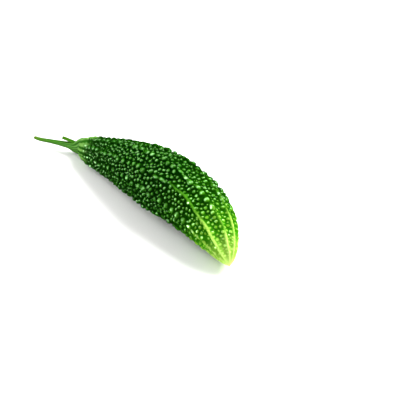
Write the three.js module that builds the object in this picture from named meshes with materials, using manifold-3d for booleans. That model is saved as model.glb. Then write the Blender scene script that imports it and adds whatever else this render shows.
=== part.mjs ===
import * as THREE from "three";
import { ConvexHull } from "three/addons/math/ConvexHull.js";
import { mergeVertices } from "three/addons/utils/BufferGeometryUtils.js";
import Module from "manifold-3d";

// A bitter gourd with its stalk, picked and lying on its straight side.
// Millimetres, +Z up. The origin is on the small flat spot that it rests on,
// under the middle of the fruit. The tip points to +X and the stalk to -X.

// The fruit's spine is an arch over a straight chord, a little raised at the neck.
// It leans back, so that the hollow side of the arch is underneath and the fruit
// lies steadily. From restFrom on the skin dips restCut below the ground, where it
// is cut flat, and the whole fruit stands restAside to one side, so that the
// origin is in the middle of that flat spot.
const chord = 190;
const archRise = 19.6;
const archFlatness = 2.25;
const archSkew = 1.11;
const archLean = THREE.MathUtils.degToRad(40);
const neckLift = { height: 0.8, until: 0.12 };
const restFrom = 0.1;
const restCut = 0.25;
const restAside = 1.4;
const pressedWart = 0.3;

// Radius of the fruit under its warts, along the spine from stalk (0) to tip (1).
const girth = [
  [0, 0], [0.012, 7.9], [0.02, 8.8], [0.035, 10.3], [0.055, 11.3], [0.1, 12.3], [0.13, 13.2],
  [0.24, 17.2], [0.38, 21.2], [0.52, 23.7], [0.66, 21.9], [0.79, 19.1], [0.88, 14.8],
  [0.94, 9.5], [0.98, 4.2], [1, 0],
];

// Ten ridges run from the stalk to the tip. They are low among the warts and
// stand out where the warts die away before the tip.
const ridgeCount = 10;
const firstRidge = THREE.MathUtils.degToRad(8);
const ridgeSway = { angle: THREE.MathUtils.degToRad(3), waves: 9, shift: 2.4 };
const ridgeSharpness = 3;
const grooveShare = 0.35;
const reliefLimit = 0.3;
const ridgeHeight = [
  [0, 0.3], [0.08, 0.7], [0.3, 0.7], [0.5, 1.1], [0.8, 1.6], [0.92, 1.6], [0.97, 0.8], [1, 0],
];

// Large warts stand in a row along each ridge, small ones fill the skin between.
// Both are smaller where the fruit is slim, and lower towards the tip.
const largeWart = { from: 0.035, to: 0.985, pitch: 6.4, reach: 2.8, scatter: 0.1, uneven: 0.3 };
const slimmer = { size: 0.5, fullRadius: 18, crowded: 1.3 };
const largeHeight = [
  [0, 0.5], [0.08, 1.5], [0.25, 2.1], [0.5, 2.3], [0.72, 1.9], [0.84, 0.9], [0.93, 0.3], [1, 0.1],
];
const smallWart = { from: 0.025, to: 0.94, reachMost: 2.15, reachLeast: 1.45, tries: 26000 };
const smallHeight = [
  [0, 0.4], [0.06, 1.3], [0.5, 1.8], [0.76, 1.5], [0.88, 0.8], [0.95, 0.2], [1, 0],
];
const unevenHeight = 0.5;
const wartSeed = 2024;

// A wart wider than this is a dome with a crown. A smaller one is a plain cone.
const crown = { leastReach: 2.05, span: 0.55, level: 0.8 };
const leastCreaseEdge = 0.45;

// The stalk: a ribbed stem that widens into the fruit and curves to one side,
// cut off at its far end, with the cut stub of a bract on it.
const stalkStart = 0.02;
const stalkGap = 0.3;
const stalkRibs = { count: 6, depth: 0.07 };
const stalkRoots = [-2, 3];
const stalkPoints = [
  [-99.3, -17, 7.4], [-105, -20.4, 7.4], [-113.1, -24.7, 7.1], [-121.6, -29.1, 6.4],
  [-130.4, -33.5, 5.4], [-135.6, -35.9, 5.5],
];
const stalkRadius = [
  [0, 8.7], [2, 8.4], [5, 7.6], [8, 6.6], [11, 5.6], [13.5, 4.6], [16, 3.7], [19.5, 2.9],
  [25, 2.45], [31, 2.05], [37, 1.8], [43, 1.65], [52, 1.55],
];
const bractPoints = [[-97, -15.6, 8.6], [-101.5, -17.9, 11.1], [-106.2, -20.4, 12.5], [-110.8, -23.1, 13.6]];
const bractRadius = [[0, 2.0], [6, 1.6], [12, 1.35], [17, 1.3]];
const stalkFaces = { sides: 18, rings: 30 };
const bractFaces = { sides: 10, rings: 7 };

// A smooth value between the knots of a table of [place, value] rows.
function along(table, place) {
  let i = 0;
  while (i < table.length - 2 && place >= table[i + 1][0]) i += 1;
  const slopeAt = (k) => {
    const before = table[Math.max(k - 1, 0)];
    const after = table[Math.min(k + 1, table.length - 1)];
    return (after[1] - before[1]) / (after[0] - before[0]);
  };
  const [x0, y0] = table[i];
  const [x1, y1] = table[i + 1];
  const span = x1 - x0;
  const t = THREE.MathUtils.clamp((place - x0) / span, 0, 1);
  const t2 = t * t;
  const t3 = t2 * t;
  return (2 * t3 - 3 * t2 + 1) * y0 + (t3 - 2 * t2 + t) * span * slopeAt(i)
    + (3 * t2 - 2 * t3) * y1 + (t3 - t2) * span * slopeAt(i + 1);
}

const radiusAt = (u) => Math.max(along(girth, u), 0);
const widest = Math.max(...girth.map(([, radius]) => radius));

function seededRandom(seed) {
  let state = seed;
  return () => {
    state = (state * 48271) % 2147483647;
    return state / 2147483647;
  };
}

// The spine: height over the chord, point, and the directions across it.
const neckAt = (u) => neckLift.height * Math.max(1 - u / neckLift.until, 0) ** 2;
const archAt = (u) => archRise * (1 - Math.abs(2 * u - 1) ** archFlatness) * (1 + archSkew * (u - 0.5))
  + neckAt(u);
const archWay = new THREE.Vector3(0, Math.sin(archLean), Math.cos(archLean));
const sideWay = new THREE.Vector3(0, -Math.cos(archLean), Math.sin(archLean));
const spineSteps = 400;

let lowest = 0;
for (let i = 0; i <= spineSteps; i += 1) {
  const u = THREE.MathUtils.lerp(restFrom, 1, i / spineSteps);
  lowest = Math.min(lowest, archAt(u) * archWay.z - radiusAt(u));
}
const chordPlace = new THREE.Vector3(0, -archAt(0.5) * archWay.y - restAside, -lowest - restCut);

function spineAt(u) {
  return new THREE.Vector3(chord * (u - 0.5), 0, 0).addScaledVector(archWay, archAt(u)).add(chordPlace);
}

function spineFrame(u) {
  const step = 1e-4;
  const ahead = spineAt(Math.min(u + step, 1)).sub(spineAt(Math.max(u - step, 0))).normalize();
  const outward = archWay.clone().addScaledVector(ahead, -archWay.dot(ahead)).normalize();
  return { ahead, outward };
}

// A point of the skin: u along the spine, v round it, and a height above the skin.
function skinPoint(u, v, height) {
  const { ahead, outward } = spineFrame(u);
  const radius = radiusAt(u);
  const round = outward.multiplyScalar(Math.cos(v)).addScaledVector(sideWay, Math.sin(v));
  const step = 0.004;
  const low = Math.max(u - step, 0);
  const high = Math.min(u + step, 1);
  const slope = (radiusAt(high) - radiusAt(low)) / spineAt(high).distanceTo(spineAt(low));
  const normal = round.clone().addScaledVector(ahead, -slope).normalize();
  return spineAt(u).addScaledVector(round, radius).addScaledVector(normal, height);
}

function ridgeAngle(k, u) {
  const sway = ridgeSway.angle * Math.sin(ridgeSway.waves * u + ridgeSway.shift * k);
  return firstRidge + (2 * Math.PI * k) / ridgeCount + sway;
}

// Height of the ridges and grooves over the skin's own radius.
function ridgeRelief(u, v) {
  let crest = 0;
  for (let k = 0; k < ridgeCount; k += 1) {
    const turn = v - ridgeAngle(k, u);
    const away = Math.abs(Math.atan2(Math.sin(turn), Math.cos(turn))) * ridgeCount / 2;
    if (away < Math.PI / 2) crest = Math.max(crest, Math.cos(away) ** ridgeSharpness);
  }
  return Math.min(along(ridgeHeight, u), reliefLimit * radiusAt(u)) * (crest - grooveShare);
}

// Room for a wart between the skin and the ground: underneath, the fruit's own
// weight has pressed them flat.
function roomUnder(wart) {
  const rise = skinPoint(wart.u, wart.v, 1).z - wart.at.z;
  return rise < 0 ? Math.max(wart.at.z + pressedWart, 0) / -rise : Infinity;
}

// Warts: the large ones step along each ridge. Then small ones are dropped at
// random wherever they have room, first the bigger and then the smaller.
function placeWarts() {
  const random = seededRandom(wartSeed);
  const around = (spread) => 1 + spread * (random() - 0.5);
  const ends = [{ u: 0, v: 0, height: 0, reach: 2.5 }, { u: 1, v: 0, height: 0, reach: 1.8 }];
  const warts = [...ends];
  for (let k = 0; k < ridgeCount; k += 1) {
    let u = largeWart.from * around(1);
    while (u < largeWart.to) {
      const grown = Math.min(radiusAt(u) / slimmer.fullRadius, 1);
      const size = THREE.MathUtils.lerp(slimmer.size, 1, grown) * around(largeWart.uneven);
      const reach = largeWart.reach * size;
      const v = ridgeAngle(k, u) + largeWart.scatter * grown * (random() - 0.5);
      const crowded = radiusAt(u) < slimmer.crowded * reach;
      const height = along(largeHeight, u) * around(unevenHeight);
      if (!crowded || k % 2 === 0) warts.push({ u, v, reach, height });
      u += (largeWart.pitch * size * around(largeWart.uneven)) / chord;
    }
  }
  for (const wart of warts) wart.at = skinPoint(wart.u, wart.v, 0);
  for (let i = 0; i < smallWart.tries; i += 1) {
    const u = THREE.MathUtils.lerp(smallWart.from, smallWart.to, random());
    const v = 2 * Math.PI * random();
    const wantsWidth = widest * random();
    const height = along(smallHeight, u) * around(unevenHeight);
    const reach = THREE.MathUtils.lerp(smallWart.reachMost, smallWart.reachLeast, i / smallWart.tries);
    if (wantsWidth > radiusAt(u)) continue;
    const at = skinPoint(u, v, 0);
    if (warts.some((wart) => wart.at.distanceTo(at) < wart.reach + reach)) continue;
    warts.push({ u, v, at, reach, height });
  }
  for (const wart of warts) wart.height = Math.min(wart.height, roomUnder(wart));
  return warts;
}

// The skin is mapped onto a ball without changing any angle, so that the hull of
// the warts' places on the ball is their triangulation on the fruit.
const mapSteps = 1600;
const mapPlaces = [];
for (let i = 0; i <= mapSteps; i += 1) {
  const u = 0.5 - 0.5 * Math.cos((Math.PI * i) / mapSteps);
  mapPlaces.push(THREE.MathUtils.clamp(u, 1e-4, 1 - 1e-4));
}
const mapHeights = [0];
for (let i = 1; i <= mapSteps; i += 1) {
  const run = spineAt(mapPlaces[i]).distanceTo(spineAt(mapPlaces[i - 1]));
  const rise = radiusAt(mapPlaces[i]) - radiusAt(mapPlaces[i - 1]);
  const radius = Math.max((radiusAt(mapPlaces[i]) + radiusAt(mapPlaces[i - 1])) / 2, 1e-3);
  mapHeights.push(mapHeights[i - 1] + Math.hypot(run, rise) / radius);
}
const mapMiddle = mapHeights[mapSteps / 2];

function between(from, to, value) {
  let low = 0;
  let high = from.length - 1;
  while (high - low > 1) {
    const middle = (low + high) >> 1;
    if (from[middle] <= value) low = middle;
    else high = middle;
  }
  const t = THREE.MathUtils.clamp((value - from[low]) / Math.max(from[high] - from[low], 1e-12), 0, 1);
  return THREE.MathUtils.lerp(to[low], to[high], t);
}

function toBall(u, v) {
  if (u <= 0) return new THREE.Vector3(0, 0, -1);
  if (u >= 1) return new THREE.Vector3(0, 0, 1);
  const height = between(mapPlaces, mapHeights, u) - mapMiddle;
  const flat = 1 / Math.cosh(height);
  return new THREE.Vector3(flat * Math.cos(v), flat * Math.sin(v), Math.tanh(height));
}

function fromBall(way) {
  const height = Math.atanh(THREE.MathUtils.clamp(way.z, -1 + 1e-12, 1 - 1e-12)) + mapMiddle;
  return { u: between(mapHeights, mapPlaces, height), v: Math.atan2(way.y, way.x) };
}

// The fruit's faces: a fan from each wart's top to the creases round it. A large
// wart has a ring part of the way down, which makes it a dome.
function fruitGeometry(warts) {
  const ways = warts.map((w, i) => Object.assign(toBall(w.u, w.v), { wart: i }));
  const faces = new ConvexHull().setFromPoints(ways).faces;
  const creases = faces.map((face) => {
    const way = face.normal.clone().normalize();
    const { u, v } = fromBall(way);
    return { way, at: skinPoint(u, v, ridgeRelief(u, v)) };
  });
  const index = new Map(faces.map((face, i) => [face, i]));

  // Creases that all but meet are made one point.
  const joined = creases.map((_, i) => i);
  const root = (i) => (joined[i] === i ? i : root(joined[i]));
  const edges = new Map();
  faces.forEach((face, i) => {
    let edge = face.edge;
    do {
      const j = index.get(edge.twin.face);
      if (creases[i].at.distanceTo(creases[j].at) < leastCreaseEdge) joined[root(i)] = root(j);
      const top = edge.head().point.wart;
      if (!edges.has(top)) edges.set(top, edge);
      edge = edge.next;
    } while (edge !== face.edge);
  });

  const positions = creases.flatMap((crease) => crease.at.toArray());
  const triangles = [];
  const addPoint = (point) => positions.push(point.x, point.y, point.z) / 3 - 1;
  const pointOn = (way, lift) => {
    const { u, v } = fromBall(way);
    return skinPoint(u, v, ridgeRelief(u, v) + lift);
  };
  warts.forEach((wart, i) => {
    const ring = [];
    const first = edges.get(i);
    let edge = first;
    do {
      const corner = root(index.get(edge.face));
      if (ring[ring.length - 1] !== corner) ring.push(corner);
      edge = edge.next.twin;
    } while (edge !== first);
    if (ring.length > 1 && ring[0] === ring[ring.length - 1]) ring.pop();
    const top = addPoint(skinPoint(wart.u, wart.v, ridgeRelief(wart.u, wart.v) + wart.height));
    let inner = ring;
    if (wart.reach > crown.leastReach && wart.height > 0) {
      inner = ring.map((corner) => {
        const way = ways[i].clone().lerp(creases[corner].way, crown.span).normalize();
        return addPoint(pointOn(way, wart.height * crown.level));
      });
    }
    ring.forEach((corner, j) => {
      const next = (j + 1) % ring.length;
      triangles.push(top, inner[next], inner[j]);
      if (inner !== ring) {
        triangles.push(inner[j], inner[next], corner);
        triangles.push(inner[next], ring[next], corner);
      }
    });
  });
  return new THREE.BufferGeometry()
    .setAttribute("position", new THREE.BufferAttribute(new Float32Array(positions), 3))
    .setIndex(triangles);
}

// A closed stem along a curve, with a radius that depends on the share of the
// way along it and the angle round it.
function stemGeometry(curve, radiusOf, { sides, rings }) {
  const frames = curve.computeFrenetFrames(rings, false);
  const positions = [];
  const triangles = [];
  for (let i = 0; i <= rings; i += 1) {
    const centre = curve.getPointAt(i / rings);
    for (let j = 0; j < sides; j += 1) {
      const turn = (2 * Math.PI * j) / sides;
      const radius = radiusOf(i / rings, turn);
      const point = centre.clone()
        .addScaledVector(frames.normals[i], radius * Math.cos(turn))
        .addScaledVector(frames.binormals[i], radius * Math.sin(turn));
      positions.push(...point.toArray());
    }
  }
  const ends = [curve.getPointAt(0), curve.getPointAt(1)].map((p) => positions.push(...p.toArray()) / 3 - 1);
  for (let j = 0; j < sides; j += 1) {
    const k = (j + 1) % sides;
    for (let i = 0; i < rings; i += 1) {
      const [a, b, c, d] = [i * sides + j, i * sides + k, (i + 1) * sides + k, (i + 1) * sides + j];
      triangles.push(a, b, c, a, c, d);
    }
    triangles.push(ends[0], k, j, ends[1], rings * sides + j, rings * sides + k);
  }
  return new THREE.BufferGeometry()
    .setAttribute("position", new THREE.BufferAttribute(new Float32Array(positions), 3))
    .setIndex(triangles);
}

// Solids, and back to geometry.
const wasm = await Module();
wasm.setup();

function toSolid(geometry) {
  const merged = mergeVertices(geometry, 1e-4);
  return new wasm.Manifold(new wasm.Mesh({
    numProp: 3,
    vertProperties: merged.attributes.position.array,
    triVerts: new Uint32Array(merged.index.array),
  }));
}

function toGeometry(solid) {
  const mesh = solid.getMesh();
  return new THREE.BufferGeometry()
    .setAttribute("position", new THREE.BufferAttribute(mesh.vertProperties, 3))
    .setIndex(new THREE.BufferAttribute(mesh.triVerts, 1));
}

// What lies past a plane is cut away: way points to the side that stays.
function cutFlat(solid, point, way) {
  return solid.trimByPlane(way.toArray(), point.dot(way));
}

const stalkFoot = spineAt(stalkStart);
const stalkWay = spineFrame(stalkStart).ahead.negate();
const floorPoint = new THREE.Vector3();
const up = new THREE.Vector3(0, 0, 1);

function makeFruit() {
  let solid = toSolid(fruitGeometry(placeWarts()));
  solid = cutFlat(solid, floorPoint, up);
  return cutFlat(solid, stalkFoot, stalkWay.clone().negate());
}

function makeStalk() {
  const foot = stalkRoots.map((distance) => stalkFoot.clone().addScaledVector(stalkWay, distance));
  const places = stalkPoints.map((point) => new THREE.Vector3(...point));
  const path = new THREE.CatmullRomCurve3([...foot, ...places], false, "centripetal");
  const length = path.getLength();
  const ribbed = (share, turn) => along(stalkRadius, share * length)
    * (1 + stalkRibs.depth * (1 - share) * Math.cos(stalkRibs.count * turn));
  const stem = cutFlat(
    toSolid(stemGeometry(path, ribbed, stalkFaces)),
    stalkFoot.clone().addScaledVector(stalkWay, stalkGap),
    stalkWay,
  );
  const bractPath = new THREE.CatmullRomCurve3(bractPoints.map((point) => new THREE.Vector3(...point)));
  const bractLength = bractPath.getLength();
  const plain = (share) => along(bractRadius, share * bractLength);
  return stem.add(toSolid(stemGeometry(bractPath, plain, bractFaces)));
}

const skin = new THREE.MeshStandardMaterial({ color: "#2f6b1c", roughness: 0.38, metalness: 0 });
const stemSkin = new THREE.MeshStandardMaterial({ color: "#6fa045", roughness: 0.55, metalness: 0 });

const part = new THREE.Group();
for (const [name, solid, material] of [["fruit", makeFruit(), skin], ["stalk", makeStalk(), stemSkin]]) {
  const mesh = new THREE.Mesh(toGeometry(solid), material);
  mesh.name = name;
  part.add(mesh);
}

export default part;
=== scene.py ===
# %% [markdown]
# # A bitter gourd, lying on a white table
#
# A bitter gourd is a fruit of the cucumber family. It is a curved spindle with
# ten low ridges, and its dark green, waxy skin is covered all over in warts.
# Towards the tip the warts die away, the ridges stand out and the skin turns
# yellow-green. This lesson grows the skin and the stalk from a few formulas, so
# every shape has a name and a size in millimetres.

import math
import random

import bpy
import numpy as np
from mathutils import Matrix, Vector, kdtree, noise


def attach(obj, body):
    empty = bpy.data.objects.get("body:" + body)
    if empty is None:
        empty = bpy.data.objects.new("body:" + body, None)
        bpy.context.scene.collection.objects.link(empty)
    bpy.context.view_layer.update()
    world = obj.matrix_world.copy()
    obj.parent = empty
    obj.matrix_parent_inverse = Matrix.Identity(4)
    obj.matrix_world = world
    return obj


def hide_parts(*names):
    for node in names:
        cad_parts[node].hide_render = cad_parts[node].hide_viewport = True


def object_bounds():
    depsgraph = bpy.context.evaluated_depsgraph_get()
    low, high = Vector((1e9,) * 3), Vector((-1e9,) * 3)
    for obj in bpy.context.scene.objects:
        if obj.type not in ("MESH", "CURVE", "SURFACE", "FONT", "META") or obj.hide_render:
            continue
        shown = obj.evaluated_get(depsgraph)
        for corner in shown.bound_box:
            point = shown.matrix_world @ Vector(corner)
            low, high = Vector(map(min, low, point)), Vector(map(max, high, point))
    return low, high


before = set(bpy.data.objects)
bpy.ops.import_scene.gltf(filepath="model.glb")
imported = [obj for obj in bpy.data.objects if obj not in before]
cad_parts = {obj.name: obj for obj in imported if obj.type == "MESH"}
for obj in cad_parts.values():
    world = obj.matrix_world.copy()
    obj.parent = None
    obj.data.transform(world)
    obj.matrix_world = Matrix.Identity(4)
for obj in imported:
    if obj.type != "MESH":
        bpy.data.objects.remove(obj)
cad_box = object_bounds()
print("nodes:", sorted(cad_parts))

# %% [markdown]
# ## Sizes and colours
#
# The solids are measured in millimetres and Blender works in metres, so one
# factor turns the one into the other. Colours are written as sRGB hex values, as
# one reads them off a colour chart, and one function makes them linear.

# %% Units and colours
MM = 0.001


def linear(hex_colour):
    channels = [int(hex_colour[i:i + 2], 16) / 255 for i in (1, 3, 5)]
    return [c / 12.92 if c <= 0.04045 else ((c + 0.055) / 1.055) ** 2.4 for c in channels] + [1.0]


print("leaf green in linear light:", [round(c, 3) for c in linear("#2F6B1C")])

# %% [markdown]
# ## Smooth tables
#
# Much of a grown thing changes slowly along its length: its girth, the height of
# its warts, the width of its ridges. Each is a short table of places and values,
# and one function reads a smooth curve through the rows. A curve object could
# hold the same numbers, but a table can be read for a hundred thousand points
# at once.

# %% A smooth curve through the rows of a table


def along(table, places):
    xs, ys = np.array(table, float).T
    slopes = np.empty_like(ys)
    slopes[1:-1] = (ys[2:] - ys[:-2]) / (xs[2:] - xs[:-2])
    slopes[0] = (ys[1] - ys[0]) / (xs[1] - xs[0])
    slopes[-1] = (ys[-1] - ys[-2]) / (xs[-1] - xs[-2])
    places = np.asarray(places, float)
    i = np.clip(np.searchsorted(xs, places, side="right") - 1, 0, len(xs) - 2)
    span = xs[i + 1] - xs[i]
    t = np.clip((places - xs[i]) / span, 0, 1)
    return ((2 * t**3 - 3 * t**2 + 1) * ys[i] + (t**3 - 2 * t**2 + t) * span * slopes[i]
            + (3 * t**2 - 2 * t**3) * ys[i + 1] + (t**3 - t**2) * span * slopes[i + 1])


GIRTH = [
    (0, 0), (0.012, 7.9), (0.02, 8.8), (0.035, 10.1), (0.055, 11.0), (0.1, 12.1), (0.13, 12.9),
    (0.24, 16.8), (0.38, 20.8), (0.52, 23.3), (0.66, 21.6), (0.79, 18.9), (0.88, 14.7), (0.94, 9.5),
    (0.98, 4.2), (1, 0),
]


def radius_at(u):
    return np.maximum(along(GIRTH, u), 0)


print("radius a quarter of the way along:", round(float(radius_at(0.25)), 1), "mm")

# %% [markdown]
# ## The fruit's spine
#
# The fruit is bent like a shallow arch, and it lies on its straight side with
# the arch leaning back. A modeller could bend a straight mesh with a curve
# modifier. Here the spine is a formula instead, the same as the solid's, so the
# skin lands exactly where the solid is.

# %% Spine
CHORD = 190.0
ARCH_RISE, ARCH_FLATNESS, ARCH_SKEW = 19.6, 2.25, 1.11
ARCH_LEAN = math.radians(40)
NECK_LIFT, NECK_UNTIL = 0.8, 0.12
REST_FROM, REST_CUT, REST_ASIDE = 0.1, 0.25, 1.4
ARCH_WAY = np.array([0, math.sin(ARCH_LEAN), math.cos(ARCH_LEAN)])
SIDE_WAY = np.array([0, -math.cos(ARCH_LEAN), math.sin(ARCH_LEAN)])
STEPS = np.linspace(0, 1, 401)


def arch_at(u):
    arch = ARCH_RISE * (1 - np.abs(2 * u - 1) ** ARCH_FLATNESS) * (1 + ARCH_SKEW * (u - 0.5))
    return arch + NECK_LIFT * np.maximum(1 - u / NECK_UNTIL, 0) ** 2


resting = np.linspace(REST_FROM, 1, 401)
lowest = (arch_at(resting) * ARCH_WAY[2] - radius_at(resting)).min()
CHORD_PLACE = np.array([0, -arch_at(0.5) * ARCH_WAY[1] - REST_ASIDE, -lowest - REST_CUT])


def spine_at(u):
    u = np.atleast_1d(np.asarray(u, float))
    chord = np.outer(CHORD * (u - 0.5), [1, 0, 0])
    return chord + np.outer(arch_at(u), ARCH_WAY) + CHORD_PLACE


print("the spine is", round(float(spine_at(0.5)[0, 2]), 1), "mm above the table half-way along")

# %% [markdown]
# ## Points of the skin
#
# A place on the skin has two numbers: u along the spine, from 0 at the stalk to
# 1 at the tip, and v round it. A third one, the height, lifts it straight out of
# the skin. Everything that follows only has to say how high the skin stands.

# %% From places to points
AHEAD_STEP, SLOPE_STEP, NEARLY_ZERO = 1e-4, 0.004, 1e-6


def unit(vectors):
    return vectors / np.maximum(np.linalg.norm(vectors, axis=-1, keepdims=True), NEARLY_ZERO)


def spine_frame(u):
    """The ways ahead along the spine and out of its arch."""
    ahead = unit(spine_at(np.minimum(u + AHEAD_STEP, 1)) - spine_at(np.maximum(u - AHEAD_STEP, 0)))
    outward = unit(ARCH_WAY - ahead * (ahead @ ARCH_WAY)[:, None])
    return ahead, outward


def skin_points(u, v, height=0.0):
    u, v = np.broadcast_arrays(np.atleast_1d(u).astype(float), np.atleast_1d(v).astype(float))
    ahead, outward = spine_frame(u)
    round_way = outward * np.cos(v)[:, None] + SIDE_WAY * np.sin(v)[:, None]
    low, high = np.maximum(u - SLOPE_STEP, 0), np.minimum(u + SLOPE_STEP, 1)
    run = np.linalg.norm(spine_at(high) - spine_at(low), axis=1)
    slope = (radius_at(high) - radius_at(low)) / run
    normal = unit(round_way - ahead * slope[:, None])
    height = np.broadcast_to(np.asarray(height, float), u.shape)
    return spine_at(u) + round_way * radius_at(u)[:, None] + normal * height[:, None]


print("the tip is at", skin_points(1.0, 0.0)[0].round(1), "mm")

# %% [markdown]
# ## Ridges
#
# Ten ridges run from the stalk to the tip. Among the warts they are low swells,
# and before the tip they stand out. They could be sculpted by hand, but a cosine
# raised to a power gives rounded ridges with wider grooves between them.

# %% Ridges
RIDGE_COUNT = 10
FIRST_RIDGE = math.radians(8)
RIDGE_SWAY, SWAY_WAVES, SWAY_SHIFT = math.radians(3), 9, 2.4
RIDGE_SHARPNESS, GROOVE_SHARE, RELIEF_LIMIT = 3, 0.35, 0.3
RIDGE_HEIGHT = [
    (0, 0.3), (0.08, 0.7), (0.3, 0.7), (0.5, 1.1), (0.8, 1.6), (0.92, 1.6), (0.97, 0.8), (1, 0),
]


def ridge_angle(k, u):
    sway = RIDGE_SWAY * np.sin(SWAY_WAVES * u + SWAY_SHIFT * k)
    return FIRST_RIDGE + 2 * math.pi * k / RIDGE_COUNT + sway


def turn_between(a, b):
    return np.arctan2(np.sin(a - b), np.cos(a - b))


def ridge_swell(u, v):
    """1 along the middle of a ridge, 0 in a groove."""
    swell = np.zeros(u.shape)
    for k in range(RIDGE_COUNT):
        away = np.abs(turn_between(v, ridge_angle(k, u))) * RIDGE_COUNT / 2
        swell = np.maximum(swell, np.where(away < math.pi / 2, np.cos(away) ** RIDGE_SHARPNESS, 0))
    return swell


def ridge_relief(u, v):
    height = np.minimum(along(RIDGE_HEIGHT, u), RELIEF_LIMIT * radius_at(u))
    return height * (ridge_swell(u, v) - GROOVE_SHARE)


print("ridges stand", round(float(along(RIDGE_HEIGHT, 0.9)), 1), "mm over the grooves near the tip")

# %% [markdown]
# ## Crests
#
# On top of each ridge the skin gathers into a narrow, smooth crest. It wanders
# from side to side and comes and goes among the warts. Towards the tip it runs
# unbroken, from a place of its own on each ridge. Two rows of smooth noise for
# each ridge say where its crest is and how strong, which looks grown where a
# straight line would look machined.

# %% Crests
CREST_HEIGHT = [(0, 0), (0.1, 0.8), (0.2, 1.8), (0.5, 2.2), (0.7, 2.0), (0.85, 1.6), (0.94, 1.0), (1, 0)]
CREST_WIDTH = [(0, 0.8), (0.5, 1.2), (0.7, 1.3), (0.82, 1.4), (0.92, 1.5), (1, 0.1)]
WIDEST_OF_RADIUS, THINNEST = 0.2, 0.01
CREST_START = [0.74, 0.77, 0.54, 0.92, 0.9, 0.6, 0.75, 0.5, 0.7, 0.9]
CREST_ONSET = 0.14
CREST_WANDER, STRAIGHTENED = 1.6, 0.4
LEAST_VIGOUR, DRAWN_VIGOUR, TIP_VIGOUR = 0.1, 1.1, 1.9
NOISE_GAIN, RIDGES_APART = 1.6, 3.7


def share_past(start, length, places):
    """0 up to the start, then rising evenly to 1 over the length."""
    return np.clip((places - start) / length, 0, 1)


def ridge_noise(waves, channel):
    """One wavy row of values from -1 to 1 for each ridge."""
    rows = [
        [noise.noise(Vector((waves * x, RIDGES_APART * k, channel))) for x in STEPS]
        for k in range(RIDGE_COUNT)
    ]
    return np.clip(NOISE_GAIN * np.array(rows), -1, 1)


unbroken = share_past(np.array(CREST_START)[:, None], CREST_ONSET, STEPS)
crest_wander = CREST_WANDER * (1 - STRAIGHTENED * unbroken) * ridge_noise(waves=20, channel=0.5)
drawn_vigour = DRAWN_VIGOUR * ridge_noise(waves=16, channel=8.5)
crest_vigour = np.clip(LEAST_VIGOUR + drawn_vigour + TIP_VIGOUR * unbroken, 0, 1)
smooth_vigour = crest_vigour * unbroken


def crests_at(u, v, vigour):
    """Up to 1 on the line of a crest, by its vigour there, and 0 beside it."""
    radius = radius_at(u)
    width = np.maximum(np.minimum(along(CREST_WIDTH, u), WIDEST_OF_RADIUS * radius), THINNEST)
    share = np.zeros(u.shape)
    for k in range(RIDGE_COUNT):
        line = ridge_angle(k, u) + np.interp(u, STEPS, crest_wander[k]) / np.maximum(radius, 1)
        away = turn_between(v, line) * radius / width
        share = np.maximum(share, np.exp(-away**2) * np.interp(u, STEPS, vigour[k]))
    return share


print("crests cover", round(100 * float((crest_vigour > 0.5).mean())), "% of the ridges' length")

# %% [markdown]
# ## Where the large warts grow
#
# Large warts stand in a row along each ridge, up to where its crest runs smooth.
# Scattering instances on the surface would be the usual way, but warts are grown
# skin, not things put on it. So only their places and sizes are drawn here, by
# the same seeded draws as the solid's warts, and the skin itself is raised under
# each. Where the fruit is thin they are smaller, and at its thinnest every second
# ridge has none.

# %% Large warts
WART_PITCH, WART_REACH, WART_SEED = 6.4, 2.8, 2024
FIRST_WART, LAST_WART = 0.035, 0.985
GROWN_RADIUS, LEAST_ROOM = 18, 1.3
SIZE_SPREAD, HEIGHT_SPREAD, SIDE_SPREAD = 0.3, 0.5, 0.1
DRAW_STEP, DRAW_LIMIT = 48271, 2147483647
LARGE_HEIGHT = [
    (0, 0), (0.04, 0.3), (0.08, 1.6), (0.25, 2.5), (0.5, 2.9), (0.72, 2.5), (0.84, 1.4), (0.93, 0.3),
    (1, 0),
]


def seeded_draws(seed):
    state = seed
    while True:
        state = state * DRAW_STEP % DRAW_LIMIT
        yield state / DRAW_LIMIT


def large_warts():
    """Rows of place u and v, reach and height in mm, and the crest's strength there."""
    draws = seeded_draws(WART_SEED)

    def around(spread):
        return 1 + spread * (next(draws) - 0.5)

    rows = []
    for k in range(RIDGE_COUNT):
        u = FIRST_WART * around(1)
        while u < LAST_WART:
            radius = float(radius_at(u))
            grown = min(radius / GROWN_RADIUS, 1)
            size = (0.5 + 0.5 * grown) * around(SIZE_SPREAD)
            v = float(ridge_angle(k, u)) + SIDE_SPREAD * grown * (next(draws) - 0.5)
            height = float(along(LARGE_HEIGHT, u)) * around(HEIGHT_SPREAD)
            smooth = np.interp(u, STEPS, smooth_vigour[k]) > 0.5
            roomy = radius >= LEAST_ROOM * WART_REACH * size or k % 2 == 0
            if roomy and not smooth:
                melt = float(np.interp(u, STEPS, crest_vigour[k]))
                rows.append((u, v, WART_REACH * size, height, melt))
            u += WART_PITCH * size * around(SIZE_SPREAD) / CHORD
    return rows


large = large_warts()
print(len(large), "large warts")

# %% [markdown]
# ## Where the beads grow
#
# Smaller warts, like beads, crowd into all the skin that is left. Blender can
# scatter points that all keep the same distance, but these need more room the
# bigger they are. So they are dropped at random, the bigger ones first, and a bead
# stays only where it has room beside the smooth crests. That packs them as densely
# as on the fruit, and no two overlap much.

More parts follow.
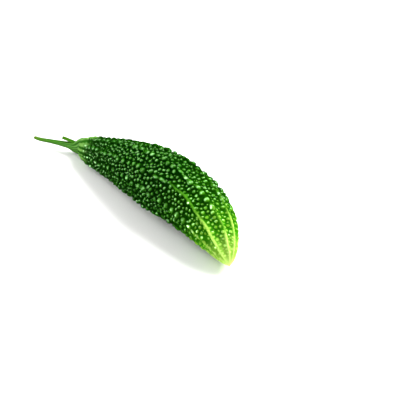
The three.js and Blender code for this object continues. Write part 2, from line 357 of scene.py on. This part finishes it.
# %% Beads
BEAD_REACH, BEAD_SHRINK, SHRINK_CURVE = 2.1, 1.25, 0.6
BEAD_HEIGHT = [
    (0, 0), (0.04, 0.1), (0.08, 1.4), (0.2, 2.0), (0.5, 2.3), (0.76, 2.0), (0.88, 1.4), (0.95, 0.5),
    (1, 0),
]
BEAD_WIDTH = [(0, 0.55), (0.1, 0.66), (0.3, 0.78), (0.5, 0.95), (0.8, 0.95), (0.9, 0.8), (1, 0.6)]
BEAD_TRIES, BEAD_SEED = 60000, 7
BEADS_FROM, BEADS_SPAN = 0.02, 0.95
CREST_NEAR, CLOSENESS = 0.4, 0.9
LOW_BEAD, TALLER, FULL_REACH, FLATTEST = 0.6, 0.8, 1.5, 0.55


def small_beads():
    """Rows like those of the large warts. No bead melts into a crest, so their last value is 0."""
    random.seed(BEAD_SEED)
    draws = np.array([[random.random() for _ in range(4)] for _ in range(BEAD_TRIES)])
    u, v = BEADS_FROM + BEADS_SPAN * draws[:, 0], 2 * math.pi * draws[:, 1]
    places = skin_points(u, v)
    evenly = draws[:, 2] * radius_at(STEPS).max() < radius_at(u)
    free = evenly & (crests_at(u, v, smooth_vigour) < CREST_NEAR)
    later = np.arange(BEAD_TRIES) / BEAD_TRIES
    reach = (BEAD_REACH - BEAD_SHRINK * later**SHRINK_CURVE) * along(BEAD_WIDTH, u)
    drawn_height = along(BEAD_HEIGHT, u) * (LOW_BEAD + TALLER * draws[:, 3])
    height = drawn_height * np.clip(reach / FULL_REACH, FLATTEST, 1)
    at = np.zeros((len(large) + BEAD_TRIES, 3))
    size = np.zeros(len(at))
    count = len(large)
    at[:count] = skin_points([row[0] for row in large], [row[1] for row in large])
    size[:count] = [row[2] for row in large]
    rows = []
    for i in np.flatnonzero(free):
        gaps = np.linalg.norm(at[:count] - places[i], axis=1) - CLOSENESS * (size[:count] + reach[i])
        if gaps.min() > 0:
            at[count], size[count] = places[i], reach[i]
            count += 1
            rows.append((u[i], v[i], reach[i], height[i], 0.0))
    return rows


beads = small_beads()
print(len(beads), "beads")

# %% [markdown]
# ## The fruit's skin
#
# The skin is one closed mesh made of rings of points. Each ring has as many
# points as its girth needs, about half a millimetre apart, and neighbouring
# rings are laced together with triangles. A plain grid would crowd its points at
# the tip and stretch them at the belly, where the warts need them most.

# %% Rings laced with triangles


def laced_rings(counts):
    """Triangles between neighbouring rings of different counts, and two end caps."""
    starts = np.concatenate([[0], np.cumsum(counts)])
    faces = []
    for a in range(len(counts) - 1):
        n, m = counts[a], counts[a + 1]
        i = j = 0
        while i < n or j < m:
            low, low_next = starts[a] + i % n, starts[a] + (i + 1) % n
            high, high_next = starts[a + 1] + j % m, starts[a + 1] + (j + 1) % m
            if j >= m or (i < n and (i + 1) / n <= (j + 1) / m):
                faces.append((low, low_next, high))
                i += 1
            else:
                faces.append((low, high_next, high))
                j += 1
    first, last = starts[-1], starts[-1] + 1
    faces += [(first, (i + 1) % counts[0], i) for i in range(counts[0])]
    faces += [(last, starts[-2] + i, starts[-2] + (i + 1) % counts[-1]) for i in range(counts[-1])]
    return faces


print("a bar of three square rings has", len(laced_rings([4, 4, 4])), "triangles")

# %% [markdown]
# ## Rings where the warts need them
#
# The smallest beads are only a millimetre or so wide, and a few points have to
# fall on each. So the rings stand evenly far apart along the slope of the skin,
# not along the spine. A subdivided ball would have even points too, but on rings
# the u and v of every point are known.

# %% Places of the skin's points
SPACING = 0.53
NECK_START, LAST_RING = 0.012, 0.9995
FINE_STEPS, FEWEST_POINTS = 20000, 8


def ring_places():
    """Places along the spine, evenly far apart along the skin."""
    fine = np.linspace(NECK_START, LAST_RING, FINE_STEPS)
    run = np.hypot(np.linalg.norm(np.diff(spine_at(fine), axis=0), axis=1), np.diff(radius_at(fine)))
    travelled = np.concatenate([[0], np.cumsum(run)])
    row_height = SPACING * math.sqrt(0.75)
    count = int(travelled[-1] / row_height)
    return np.interp(np.linspace(0, travelled[-1], count), travelled, fine)


ring_u = ring_places()
counts = [max(FEWEST_POINTS, round(2 * math.pi * float(r) / SPACING)) for r in radius_at(ring_u)]
u = np.append(np.repeat(ring_u, counts), [NECK_START, 1.0])
v = np.append(np.concatenate([2 * math.pi * np.arange(n) / n for n in counts]), [0.0, 0.0])
skin_faces = laced_rings(counts)
print(len(u), "points and", len(skin_faces), "triangles in the skin")

# %% [markdown]
# ## Raising the warts
#
# Every point of the skin is lifted by the tallest wart that reaches it. Each
# wart is a dome that is steep at its foot, so the skin between domes stays a
# crisp, dark valley. A displacement texture could raise bumps too, but not each
# with a place, a size and a shade of its own.
#
# The points are first shifted a little by a noise, which gives the warts uneven
# outlines. Blender would start that noise from the clock, so it gets a seed, and
# every run grows the same fruit. Where a crest is strong, the warts on it are
# stretched lengthways until they melt into it. Underneath, the fruit's own weight
# presses them flat.

# %% Height of the warts at every point
WOBBLE, WOBBLE_WAVE, WOBBLE_SEED = 0.35, 2.4, 5
PRESSED_WART = 0.3
DOME_ROUNDNESS, DOME_STEEPNESS = 2.2, 0.55
HEIGHT_KEPT, REACH_KEPT = 0.97, 0.92
MELT_STRETCH, MELT_NARROWING = 1.3, 0.25
TONE_SEED = 11

base = skin_points(u, v)
noise.seed_set(WOBBLE_SEED)
wobble = np.array([noise.noise_vector(Vector(p / WOBBLE_WAVE)) for p in base])
felt = base + WOBBLE * wobble
tree = kdtree.KDTree(len(felt))
for i, place in enumerate(felt):
    tree.insert(place, i)
tree.balance()

warts = np.array(large + beads)
wart_at = skin_points(warts[:, 0], warts[:, 1])
rise = skin_points(warts[:, 0], warts[:, 1], 1.0)[:, 2] - wart_at[:, 2]
table_gap = np.maximum(wart_at[:, 2] + PRESSED_WART, 0)
room = np.where(rise < 0, table_gap / np.maximum(-rise, NEARLY_ZERO), np.inf)
wart_height = np.minimum(warts[:, 3] * HEIGHT_KEPT, room)
wart_ahead = spine_frame(warts[:, 0])[0]
random.seed(TONE_SEED)

lift = np.zeros(len(u))
bead_share = np.zeros(len(u))
shade = np.full(len(u), 0.5)
for (_, _, reach, _, melt), at, height, way in zip(warts, wart_at, wart_height, wart_ahead):
    stretch = 1 + MELT_STRETCH * melt
    foot = REACH_KEPT * reach * (1 - MELT_NARROWING * melt)
    tone = random.random()
    hits = tree.find_range(at, foot * stretch)
    if not hits:
        continue
    index = np.array([hit[1] for hit in hits])
    offset = felt[index] - at
    lengthways = offset @ way
    distance = np.sqrt(np.maximum((offset**2).sum(1) - lengthways**2 * (1 - 1 / stretch**2), 0)) / foot
    dome = np.clip(1 - distance**DOME_ROUNDNESS, 0, 1) ** DOME_STEEPNESS
    shade[index] = np.where(height * dome > lift[index], tone, shade[index])
    lift[index] = np.maximum(lift[index], height * dome)
    bead_share[index] = np.maximum(bead_share[index], dome)
print("tallest wart:", round(float(lift.max()), 2), "mm")

# %% [markdown]
# ## Lumps on the warts
#
# No wart is a perfect dome. A sculptor would dent them one by one. Here a low
# noise does it, on the warts and crests alone, so that each catches the light in
# its own way. Where the warts die away before the tip, the skin has fine lines
# lengthways, which are low waves round the fruit that the same noise makes uneven.

# %% Crests and lumps
LUMP, LUMP_WAVE = 0.2, 1.7
LINE_COUNT, LINE_HEIGHT, LINE_SWAY, LINE_RAGGEDNESS = 34, 0.3, 2.5, 4
LINES_START, LINES_ONSET, LINES_RADIUS = 0.78, 0.12, 8

crests = crests_at(u, v, crest_vigour)
lift = np.maximum(lift, crests * along(CREST_HEIGHT, u))
lumps = np.array([noise.noise(Vector(p / LUMP_WAVE)) for p in base])
lift = lift + LUMP * lumps * np.clip(lift, 0, 1)
fine_lines = 0.5 + 0.5 * np.cos(LINE_COUNT * v + LINE_SWAY * np.sin(2 * v) + LINE_RAGGEDNESS * lumps)
near_tip = share_past(LINES_START, LINES_ONSET, u)
lift = lift + LINE_HEIGHT * near_tip * (fine_lines - 0.5) * np.minimum(radius_at(u) / LINES_RADIUS, 1)
print("crests reach", round(float((crests * along(CREST_HEIGHT, u)).max()), 2), "mm")

# %% [markdown]
# ## The neck
#
# Where the stalk grows into it, the fruit has a smooth grey-green neck with
# fibrous streaks that fan out and lose themselves among the first warts. They
# are low waves round the neck, which die away along the skin. A bump map could
# draw them too, but true relief can run on into the stalk, which takes the same
# waves. The very first rings dive under the stalk, so no slit opens between the
# two.

# %% Streaks, and the finished points
STREAK_COUNT, STREAK_HEIGHT, STREAK_SWAY, STREAK_DRIFT = 14, 0.16, 2.2, 0.16
NECK_END, NECK_FADE = 0.1, 0.05
STALK_START, NECK_DIVE = 0.02, 1.5


def streaks_at(v, run):
    """Waves round the neck, from 0 to 1, a distance of run mm from the stalk's foot."""
    return 0.5 + 0.5 * np.cos(STREAK_COUNT * v + STREAK_SWAY * np.sin(3 * v) + STREAK_DRIFT * run)


neck = np.clip((NECK_END - u) / NECK_FADE, 0, 1)
streaks = streaks_at(v, CHORD * (u - STALK_START))
dive = NECK_DIVE * np.clip((STALK_START - u) / (STALK_START - NECK_START), 0, 1)
relief = ridge_relief(u, v) + lift + STREAK_HEIGHT * neck * (2 * streaks - 1) - dive
points = skin_points(u, v, relief)
print("skin reaches from", points.min(0).round(1), "to", points.max(0).round(1))

# %% [markdown]
# ## Making the mesh
#
# Points, faces and a name make a mesh. What is known about each point is kept
# with it as named attributes, which a material can read later. Painting by hand
# or a texture image could do the same, but attributes follow the shape exactly.
# Points that would stand out of the solid's box, or reach into the table, are
# pressed back to it.

# %% A mesh with attributes
CLEARANCE = 0.01
box_low, box_high = np.array(cad_box) / MM
box_low = box_low + [CLEARANCE, CLEARANCE, 0]
box_high = box_high - CLEARANCE


def make_piece(name, vertices, faces, node, attributes):
    mesh = bpy.data.meshes.new(name)
    mesh.from_pydata((np.clip(vertices, box_low, box_high) * MM).tolist(), [], faces)
    for label, values in attributes.items():
        layer = mesh.attributes.new(label, "FLOAT", "POINT")
        layer.data.foreach_set("value", np.asarray(values, np.float32))
    mesh.polygons.foreach_set("use_smooth", [True] * len(mesh.polygons))
    piece = bpy.data.objects.new(name, mesh)
    bpy.context.scene.collection.objects.link(piece)
    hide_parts(node)
    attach(piece, "root")
    print(name, "has", len(mesh.polygons), "faces")
    return piece


print("points are kept between", box_low.round(1), "and", box_high.round(1), "mm")

# %% [markdown]
# ## Ripe and shiny places
#
# Towards the tip the gourd ripens: first its crests turn pale, then the lines on
# its ridges, and last the whole point. A crest's pale line is partly its own ripe
# colour and partly a painted highlight along it. The warts are the shiniest, a
# crest is less so, and least where it is ripe and its highlight is painted. A
# painter would brush such places in by eye. Here each is a product of shares from
# 0 to 1, kept with the skin's points, together with the height on a wart or crest
# and the way along the fruit.

# %% The fruit with its attributes
CRESTS_TURN_PALE, RIDGES_RIPEN, TIP_RIPENS = (0.57, 0.27), (0.8, 0.12), (0.94, 0.06)
EVEN_SHARE, LUMPY_SHARE = 0.85, 0.8
BETWEEN_LINES, ON_LINES = 0.3, 0.6
# Where the crests' pale colour paints a highlight, their real shine is turned down.
CREST_SHINE, RIPE_AND_HIGHLIGHT_DULLING = 0.72, 0.4

smooth_crests = crests_at(u, v, smooth_vigour)
lumpy = np.clip(EVEN_SHARE + LUMPY_SHARE * lumps, 0, 1)
# A ripe crest's pale line is partly its own ripe colour and partly a painted highlight.
ripe_crests_and_highlight = smooth_crests * share_past(*CRESTS_TURN_PALE, u) * lumpy
ripe_ridges = (BETWEEN_LINES + ON_LINES * fine_lines) * ridge_swell(u, v) * share_past(*RIDGES_RIPEN, u)
ripe_and_highlight = np.maximum(np.maximum(ripe_crests_and_highlight, ripe_ridges), share_past(*TIP_RIPENS, u))
fruit = make_piece("gourd_skin", points, skin_faces, "fruit", {
    "top": np.maximum(bead_share, np.maximum(smooth_crests, ripe_and_highlight)),
    "ripe_and_highlight": ripe_and_highlight,
    "shine": np.maximum(bead_share, CREST_SHINE * smooth_crests) * (1 - RIPE_AND_HIGHLIGHT_DULLING * ripe_and_highlight),
    "way": u,
    "neck": neck,
    "streak": streaks,
    "shade": shade,
})

# %% [markdown]
# ## The stalk
#
# The stalk is a stringy green stem. It widens where it grows into the fruit,
# narrows to less than three millimetres and ends in a cut. A curve with a bevel
# would be quick, but its section would be round everywhere. Rings of points
# along a smooth path can be ribbed, and they can carry the neck's streaks on.

# %% Path and rings of a stem
PATH_STEPS = 2000


def smooth_path(knots, spacing):
    """Points at equal distances along a smooth curve through the knots."""
    knots = np.array(knots, float)
    gaps = np.sqrt(np.linalg.norm(np.diff(knots, axis=0), axis=1))
    times = np.concatenate([[0], np.cumsum(gaps)])
    fine = np.linspace(0, times[-1], PATH_STEPS)
    path = np.stack([along(list(zip(times, axis)), fine) for axis in knots.T], 1)
    travelled = np.concatenate([[0], np.cumsum(np.linalg.norm(np.diff(path, axis=0), axis=1))])
    even = np.linspace(0, travelled[-1], int(travelled[-1] / spacing) + 1)
    return np.stack([np.interp(even, travelled, axis) for axis in path.T], 1), even


def stem_rings(path, radii, first_way):
    """Rings round a path. radii has a row for each ring and a column for each side."""
    ahead = unit(np.gradient(path, axis=0))
    across = unit(first_way - ahead * (ahead @ first_way)[:, None])
    upward = np.cross(ahead, across)
    turns = 2 * math.pi * np.arange(radii.shape[1]) / radii.shape[1]
    cosine, sine = np.cos(turns)[None, :, None], np.sin(turns)[None, :, None]
    spokes = across[:, None] * cosine + upward[:, None] * sine
    rings = (path[:, None] + spokes * radii[:, :, None]).reshape(-1, 3)
    return np.concatenate([rings, path[:1], path[-1:]])


bend = smooth_path([(0, 0, 0), (5, 1, 0), (10, 0, 0)], spacing=0.5)[0]
print("a gentle bend over 10 mm gets", len(bend), "points")

# %% [markdown]
# ## The stem of the stalk
#
# The first two points of the stem's path are in line with the fruit's spine, one
# inside the neck and one outside, so the stem leaves the fruit without a kink.
# From there it runs nearly level, a few millimetres above the table. A stem drawn
# by hand in the viewport would do too, but its foot has to meet the neck's girth
# and streaks. Farther on the streaks get lower and a few ribs join them, which die
# out at the cut.

# %% The stalk's stem
STALK_ROOTS = (2, -3)
STALK_POINTS = [
    (-99.3, -17, 7.4), (-105, -20.4, 7.4), (-113.1, -24.7, 7.1), (-121.6, -29.1, 6.4),
    (-130.4, -33.5, 5.4), (-135.6, -35.9, 5.5),
]
STALK_RADIUS = [
    (0, 7.6), (1, 8.2), (2, 8.4), (5, 7.6), (8, 6.6), (11, 5.6), (13.5, 4.6), (16, 3.7), (19.5, 2.9),
    (25, 2.45), (31, 2.05), (37, 1.8), (43, 1.65), (51, 1.5), (52, 1.35),
]
STALK_SIDES, STALK_STEP = 84, 0.5
RIB_COUNT, RIB_DEPTH, RIBS_START, RIBS_ONSET = 6, 0.06, 4, 12

stalk_foot = spine_at(STALK_START)[0]
foot_ahead, foot_outward = (ways[0] for ways in spine_frame(np.array([STALK_START])))
roots = [stalk_foot + distance * foot_ahead for distance in STALK_ROOTS]
stalk_path, stalk_run = smooth_path([*roots, *STALK_POINTS], STALK_STEP)
turns = 2 * math.pi * np.arange(STALK_SIDES) / STALK_SIDES
run = stalk_run[:, None]
thin = along(STALK_RADIUS, stalk_run)[:, None]
stalk_streaks = streaks_at(-turns, STALK_ROOTS[0] - run)
rib_depth = RIB_DEPTH * share_past(RIBS_START, RIBS_ONSET, run) * (1 - run / run.max())
ribs = 1 + rib_depth * np.cos(RIB_COUNT * turns)
stalk_radii = thin * ribs + STREAK_HEIGHT * (thin / thin.max()) * (2 * stalk_streaks - 1)
end_points = [0, stalk_run[-1]]
stalk = make_piece(
    "stalk_stem", stem_rings(stalk_path, stalk_radii, foot_outward),
    laced_rings([STALK_SIDES] * len(stalk_path)), "stalk",
    {
        "run": np.append(np.repeat(stalk_run, STALK_SIDES), end_points),
        "streak": np.append(stalk_streaks.ravel(), [0.5, 0.5]),
    },
)

# %% [markdown]
# ## The stub of a bract
#
# A small leaf grew where the stalk begins to widen, and it was snapped off. Its
# stub is a short, flattened stem that leaves the stalk at a slight angle. It is
# rooted well inside the stalk, so no gap can show between them. A stretched
# cylinder would nearly do, but the functions that made the stalk make this one too,
# with a flatter section. It is as green as the outer part of the stalk, so it takes
# the distances that are found there.

# %% Stub of the bract
BRACT_POINTS = [(-97, -15.6, 8.6), (-101.5, -17.9, 11.1), (-106.2, -20.4, 12.5), (-110.8, -23.1, 13.6)]
BRACT_RADIUS = [(0, 2.0), (6, 1.6), (12, 1.35), (17, 1.3)]
BRACT_SIDES, BRACT_STEP = 28, 0.4
FLATNESS, BRACT_RIBS, BRACT_RIB_DEPTH, BRACT_STREAK = 0.2, 5, 0.05, 0.2
GREEN_FROM, GREEN_TO = 30, 50

bract_path, bract_run = smooth_path(BRACT_POINTS, BRACT_STEP)
turns = 2 * math.pi * np.arange(BRACT_SIDES) / BRACT_SIDES
flattened = 1 - FLATNESS * np.cos(2 * turns) + BRACT_RIB_DEPTH * np.cos(BRACT_RIBS * turns)
bract_streaks = BRACT_STREAK + BRACT_STREAK * np.cos(BRACT_RIBS * turns)
bract_greens = GREEN_FROM + bract_run * (GREEN_TO - GREEN_FROM) / bract_run[-1]
bract_radii = along(BRACT_RADIUS, bract_run)[:, None] * flattened
bract = make_piece(
    "bract_stub", stem_rings(bract_path, bract_radii, np.array([0.0, 0.0, 1.0])),
    laced_rings([BRACT_SIDES] * len(bract_path)), "stalk",
    {
        "run": np.append(np.repeat(bract_greens, BRACT_SIDES), [GREEN_FROM, GREEN_TO]),
        "streak": np.append(np.tile(bract_streaks, len(bract_path)), [BRACT_STREAK / 2] * 2),
    },
)

# %% [markdown]
# ## Nodes for the materials
#
# A Blender material is a small tree of nodes. One function adds any node with
# its settings and its links, so that a material reads as a list of what it mixes.

# %% Node helper
MIX_A, MIX_B, MIX_RESULT = 6, 7, 2


def add_node(tree, kind, links=None, stops=(), **settings):
    """A node with its settings, its inputs linked to outputs, and a ramp's stops."""
    node = tree.nodes.new(kind)
    for name, value in settings.items():
        if name in node.inputs:
            node.inputs[name].default_value = value
        else:
            setattr(node, name, value)
    for socket, output in (links or {}).items():
        tree.links.new(output, node.inputs[socket])
    for i, (position, hex_colour) in enumerate(stops):
        element = node.color_ramp.elements[i] if i < 2 else node.color_ramp.elements.new(position)
        element.position = position
        element.color = linear(hex_colour)
    return node


def new_material(name):
    material = bpy.data.materials.new(name)
    material.use_nodes = True
    material.node_tree.nodes.clear()
    return material, material.node_tree


print("materials start as empty node trees")

# %% [markdown]
# ## The skin's material
#
# A gourd's skin is dark green flesh under a thin film of plant wax. The valleys
# are painted nearly black-green, as painted shade between the warts over the
# skin's own green, the tops of the warts are lighter, and towards the tip the
# green turns to yellow. The pale line of a ripe crest is partly its own colour and
# partly a painted highlight. One ramp of colours could only say how the whole
# fruit changes along its length, so the valleys, the warts and the ripe crests
# have a ramp each.

# %% Greens of the skin
waxy_skin, tree = new_material("waxy_gourd_skin")
top, ripe_and_highlight_share, shine, way, neck_share, streak, shade_share = (
    add_node(tree, "ShaderNodeAttribute", attribute_name=name).outputs["Fac"]
    for name in ("top", "ripe_and_highlight", "shine", "way", "neck", "streak", "shade")
)
wart_tops = add_node(tree, "ShaderNodeValToRGB", {"Fac": way}, [
    (0.05, "#225812"), (0.3, "#1C5408"), (0.6, "#1E5808"), (0.78, "#34740E"), (0.9, "#6EAC22"),
    (1.0, "#C8EA74"),
])
# Painted highlight: the palest greens of the ripe crests also stand for a highlight along them.
crest_green_and_highlight = add_node(tree, "ShaderNodeValToRGB", {"Fac": way}, [
    (0.6, "#2A660A"), (0.78, "#549820"), (0.87, "#A6D254"), (1.0, "#CCEE7C"),
])
# Painted shade: the near-black greens of the valleys stand for the shade between the warts.
valley_green_and_shade = add_node(tree, "ShaderNodeValToRGB", {"Fac": way}, [
    (0.05, "#052C00"), (0.3, "#022200"), (0.6, "#022200"), (0.78, "#0A3A00"), (0.9, "#2E7808"),
    (1.0, "#A0D04C"),
])
print("three ramps of green along the fruit")

# %% [markdown]
# ## Mixing the greens
#
# The height on a wart or crest chooses between the green of the valleys and that
# of the tops, so the low places between the warts get painted shade. No two warts
# are quite the same green, and patches about two centimetres wide ripen a little
# sooner. Vertex colours could hold the result, but nodes keep every shade open to
# change. The neck has a grey-green of its own, light on its streaks and darker
# between them.

# %% Valleys, tops, patches and neck
PATCH = 18 * MM
# Painted shade mask: 0 in the valleys between the warts, where shade is painted, and 1 on the tops.
valley_shade_mask = add_node(
    tree, "ShaderNodeMapRange", {"Value": top}, interpolation_type="SMOOTHSTEP",
    **{"From Min": 0.4, "From Max": 0.98},
)
raised = add_node(tree, "ShaderNodeMix", {
    "Factor": ripe_and_highlight_share, MIX_A: wart_tops.outputs["Color"], MIX_B: crest_green_and_highlight.outputs["Color"],
}, data_type="RGBA")
green = add_node(tree, "ShaderNodeMix", {
    "Factor": valley_shade_mask.outputs["Result"], MIX_A: valley_green_and_shade.outputs["Color"],
    MIX_B: raised.outputs[MIX_RESULT],
}, data_type="RGBA")
place = add_node(tree, "ShaderNodeTexCoord")
patches = add_node(
    tree, "ShaderNodeTexNoise", {"Vector": place.outputs["Object"]}, Scale=1 / PATCH, Detail=1.0,
)
unevenness = add_node(tree, "ShaderNodeMath", {0: shade_share, 1: patches.outputs["Fac"]}, operation="ADD")
brightness = add_node(
    tree, "ShaderNodeMapRange", {"Value": unevenness.outputs["Value"]},
    **{"From Min": 0.2, "From Max": 1.8, "To Min": 0.7, "To Max": 1.3},
)
uneven_green = add_node(tree, "ShaderNodeHueSaturation", {
    "Color": green.outputs[MIX_RESULT], "Value": brightness.outputs["Result"],
})
neck_green = add_node(tree, "ShaderNodeValToRGB", {"Fac": streak}, [
    (0.15, "#245A10"), (0.85, "#70A44C"),
])
skin_colour = add_node(tree, "ShaderNodeMix", {
    "Factor": neck_share, MIX_A: uneven_green.outputs["Color"], MIX_B: neck_green.outputs["Color"],
}, data_type="RGBA")
print("skin colour mixes", len(tree.nodes), "nodes")

# %% [markdown]
# ## Wax over the green
#
# Plant wax is clear, with an IOR of about 1.45. It gives each wart one small,
# sharp highlight and adds almost no haze. It is glossy on the tops of the warts,
# fainter on the crests and not to be seen in the valleys. A second, clear coat
# over the shader could be the film. The shader's own gloss, turned down from place
# to place, does the same with less. Its green tint is the flesh under the film.

# %% Wax
# Real pores are far finer than a millimetre. They are drawn this coarse to show.
PORE = 1.1 * MM
gloss = add_node(tree, "ShaderNodeMapRange", {"Value": top}, **{"To Min": 0.16, "To Max": 0.1})
wax = add_node(
    tree, "ShaderNodeMapRange", {"Value": shine}, interpolation_type="SMOOTHSTEP",
    **{"From Min": 0.6, "From Max": 0.95, "To Min": 0.0, "To Max": 1.0},
)
pores = add_node(
    tree, "ShaderNodeTexNoise", {"Vector": place.outputs["Object"]}, Scale=1 / PORE, Detail=2.0,
)
bump = add_node(tree, "ShaderNodeBump", {"Height": pores.outputs["Fac"]}, Strength=0.04, Distance=0.2 * MM)
shader = add_node(tree, "ShaderNodeBsdfPrincipled", {
    "Base Color": skin_colour.outputs[MIX_RESULT], "Roughness": gloss.outputs["Result"],
    "Normal": bump.outputs["Normal"], "Specular IOR Level": wax.outputs["Result"],
}, IOR=1.45, **{"Specular Tint": linear("#B8FFA8")})
add_node(tree, "ShaderNodeOutputMaterial", {"Surface": shader.outputs["BSDF"]})
fruit.data.materials.append(waxy_skin)
print("skin material has", len(tree.nodes), "nodes")

# %% [markdown]
# ## The stalk's material
#
# The stalk is a bundle of green fibres under a dull skin, so it is satin, not
# shiny. Its fibres run lengthways as light lines with darker green between them,
# grey-green where they fan out over the neck and fresher green along the stem.
# At the cut the fibres have dried to olive. A texture image would need to be
# wrapped round the stem, but the streaks are already known for every point.

# %% Fibrous stalk
# The skin's real grain is about a fifth of this. It is drawn this coarse to show.
GRAIN = 0.9 * MM
STALK_LENGTH = float(STALK_RADIUS[-1][0])
fibrous_stalk, tree = new_material("fibrous_green_stalk")
run_along = add_node(tree, "ShaderNodeAttribute", attribute_name="run")
streak = add_node(tree, "ShaderNodeAttribute", attribute_name="streak")
run_share = add_node(
    tree, "ShaderNodeMapRange", {"Value": run_along.outputs["Fac"]}, **{"From Max": STALK_LENGTH},
)
between_fibres = add_node(tree, "ShaderNodeValToRGB", {"Fac": run_share.outputs["Result"]}, [
    (0.0, "#245A10"), (0.3, "#1C4E06"), (0.7, "#184600"), (0.95, "#2C5204"), (1.0, "#38480C"),
])
on_fibres = add_node(tree, "ShaderNodeValToRGB", {"Fac": run_share.outputs["Result"]}, [
    (0.0, "#70A44C"), (0.3, "#4E862A"), (0.7, "#427C16"), (0.95, "#5A8A22"), (1.0, "#5C6E1C"),
])
stalk_colour = add_node(tree, "ShaderNodeMix", {
    "Factor": streak.outputs["Fac"], MIX_A: between_fibres.outputs["Color"],
    MIX_B: on_fibres.outputs["Color"],
}, data_type="RGBA")
place = add_node(tree, "ShaderNodeTexCoord")
grain = add_node(
    tree, "ShaderNodeTexNoise", {"Vector": place.outputs["Object"]}, Scale=1 / GRAIN, Detail=3.0,
)
bump = add_node(tree, "ShaderNodeBump", {"Height": grain.outputs["Fac"]}, Strength=0.3, Distance=0.2 * MM)
shader = add_node(tree, "ShaderNodeBsdfPrincipled", {
    "Base Color": stalk_colour.outputs[MIX_RESULT], "Normal": bump.outputs["Normal"],
}, Roughness=0.5, IOR=1.45, **{"Specular IOR Level": 0.1, "Specular Tint": linear("#90FF74")})
add_node(tree, "ShaderNodeOutputMaterial", {"Surface": shader.outputs["BSDF"]})
for piece in (stalk, bract):
    piece.data.materials.append(fibrous_stalk)
print("stalk material has", len(tree.nodes), "nodes")

# %% [markdown]
# ## The table
#
# The gourd lies on a plain white laminate top. A matt white sheet could curve up
# behind it as in a studio, but the camera looks down, so a flat top is enough.
# Laminate is dull here: it takes soft shadows and gives no mirror image.

# %% White laminate
table_white, tree = new_material("white_laminate")
shader = add_node(tree, "ShaderNodeBsdfPrincipled", Roughness=0.6, **{
    "Base Color": linear("#F8F8F6"), "Specular IOR Level": 0.0,
})
add_node(tree, "ShaderNodeOutputMaterial", {"Surface": shader.outputs["BSDF"]})
HALF_TABLE = 3.0
mesh = bpy.data.meshes.new("table_top")
corners = [(x * HALF_TABLE, y * HALF_TABLE, 0) for x, y in ((-1, -1), (1, -1), (1, 1), (-1, 1))]
mesh.from_pydata(corners, [], [(0, 1, 2, 3)])
table_top = bpy.data.objects.new("table_top", mesh)
bpy.context.scene.collection.objects.link(table_top)
table_top.data.materials.append(table_white)
table_top.visible_glossy = False
print("the table is", 2 * HALF_TABLE, "m wide")

# %% [markdown]
# ## Light
#
# A large, soft key light from the right, a little behind the fruit, and a weaker
# fill from the left give it its form and a pale shadow. If the wax mirrored those
# large lamps and the white room, a grey haze would cover the green. So they are
# hidden from reflections, and smaller lamps that only reflections see put bright
# points on the warts, as a photographer does with polarising film and a spark light.

# %% Lamps
SOFT_SIZE, SPARK_SIZE = 0.9, 0.32


def add_lamp(name, place, size, power):
    lamp = bpy.data.lights.new(name, "AREA")
    lamp.shape = "DISK"
    lamp.size = size
    lamp.energy = power
    holder = bpy.data.objects.new(name, lamp)
    holder.location = place
    holder.rotation_euler = Vector(place).to_track_quat("Z", "Y").to_euler()
    bpy.context.scene.collection.objects.link(holder)
    return holder


for name, place, power in [("key", (0.25, 0.75, 0.95), 36), ("fill", (-0.7, -0.6, 0.8), 7)]:
    add_lamp(name, place, SOFT_SIZE, power).visible_glossy = False
for name, place, power in [
    ("spark_top", (-0.12, -0.35, 0.93), 30), ("spark_low", (-0.4, -1.05, 0.25), 50),
    ("spark_back", (-0.1, 0.9, 0.8), 32),
]:
    add_lamp(name, place, SPARK_SIZE, power).visible_diffuse = False

world = bpy.data.worlds.new("white_room")
bpy.context.scene.world = world
world.use_nodes = True
world.cycles_visibility.glossy = False
background = world.node_tree.nodes["Background"]
background.inputs["Color"].default_value = (1, 1, 1, 1)
background.inputs["Strength"].default_value = 0.7
bpy.context.scene.view_settings.view_transform = "Standard"
print("five lamps and a white room")

# %% [markdown]
# ## Camera
#
# The camera looks down on the fruit from its front and the tip's side, through a
# long lens, so that nearer and farther warts come out at nearly the same size.

# %% Camera
AZIMUTH, ELEVATION, DISTANCE = math.radians(50.456), math.radians(40), 0.896
AIM_RIGHT, AIM_FORWARD = 27.64 * MM, 4.84 * MM
back = Vector((
    math.sin(AZIMUTH) * math.cos(ELEVATION), -math.cos(AZIMUTH) * math.cos(ELEVATION), math.sin(ELEVATION),
))
right = Vector((math.cos(AZIMUTH), math.sin(AZIMUTH), 0))
forward = Vector((-math.sin(AZIMUTH), math.cos(AZIMUTH), 0))
aim = right * AIM_RIGHT + forward * AIM_FORWARD
camera_data = bpy.data.cameras.new("photo_angle")
camera_data.lens = 100
camera_data.sensor_width = 36
camera = bpy.data.objects.new("photo_angle", camera_data)
camera.location = aim + back * DISTANCE
camera.rotation_euler = back.to_track_quat("Z", "Y").to_euler()
bpy.context.scene.collection.objects.link(camera)
bpy.context.scene.camera = camera
print("camera stands at", [round(c, 3) for c in camera.location])

# %% [markdown]
# ## Last measurements
#
# The dressed gourd is kept inside the solid's box, and the solid's box is printed. The
# dressed gourd has to stay inside the solid's box.

# %% Write the sizes
bpy.context.view_layer.update()
print("solid box:", [[round(x, 4) for x in c] for c in cad_box])
